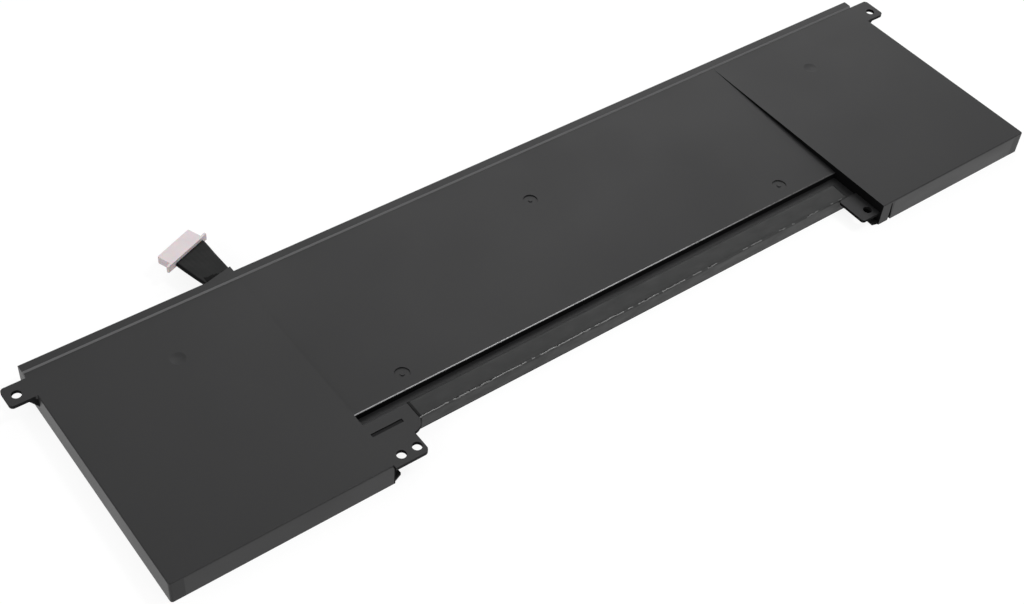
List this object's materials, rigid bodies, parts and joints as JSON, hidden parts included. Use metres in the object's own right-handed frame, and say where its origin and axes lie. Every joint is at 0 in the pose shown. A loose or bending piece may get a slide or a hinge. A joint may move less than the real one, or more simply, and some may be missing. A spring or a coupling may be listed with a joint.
{
  "type": "internal laptop battery",
  "caption": "Flat internal laptop battery: moulded tray with level ends, tilted middle, taped front board, screw tabs and a short flat lead with a plug.",
  "frame": {"origin": "middle of the case's flat underside, without the screw tabs and the lead", "axes": "+X along the battery towards the end with the lower ear, +Y from the notched front edge to the rear edge the lead leaves, +Z from the underside up"},
  "size_m": [0.346, 0.1129, 0.0089],
  "materials": {
    "tray_plastic": "satin moulded",
    "black_film": "satin film",
    "black_tape": "satin tape",
    "pouch_foil": "satin laminate",
    "clear_adhesive": "matte",
    "black_foam": "matte foam",
    "terminal_aluminium": "bright",
    "nickel": "bright rolled",
    "solder": "satin",
    "amber_tape": "gloss film",
    "green_board": "gloss solder mask",
    "chip_epoxy": "matte epoxy",
    "white_ceramic": "satin ceramic",
    "resistor_metal": "satin",
    "tan_ceramic": "matte ceramic",
    "wire_jacket": "satin insulation",
    "white_nylon": "satin nylon",
    "contact_brass": "bright"
  },
  "bodies": {
    "root": {"tray": "tray_plastic", "cover_film": "black_film", "front_strips": "black_film", "board_wrap": "black_tape", "lead_sleeve": "black_tape", "cell_left": "pouch_foil", "cell_middle_left": "pouch_foil", "cell_middle_right": "pouch_foil", "cell_right": "pouch_foil", "cell_pads": "clear_adhesive", "foam_wedges": "black_foam", "foam_strips": "black_foam", "board_foam": "black_foam", "positive_terminals": "terminal_aluminium", "negative_terminals": "nickel", "nickel_links": "nickel", "solder_pads": "solder", "ledge_tapes": "amber_tape", "protection_board": "green_board", "gauge_chip": "chip_epoxy", "power_switches": "chip_epoxy", "fuse": "white_ceramic", "sense_resistor": "resistor_metal", "capacitors": "tan_ceramic", "thermistor": "chip_epoxy", "lead_wires": "wire_jacket", "connector_housing": "white_nylon", "connector_contacts": "contact_brass"}
  },
  "joints": []
}
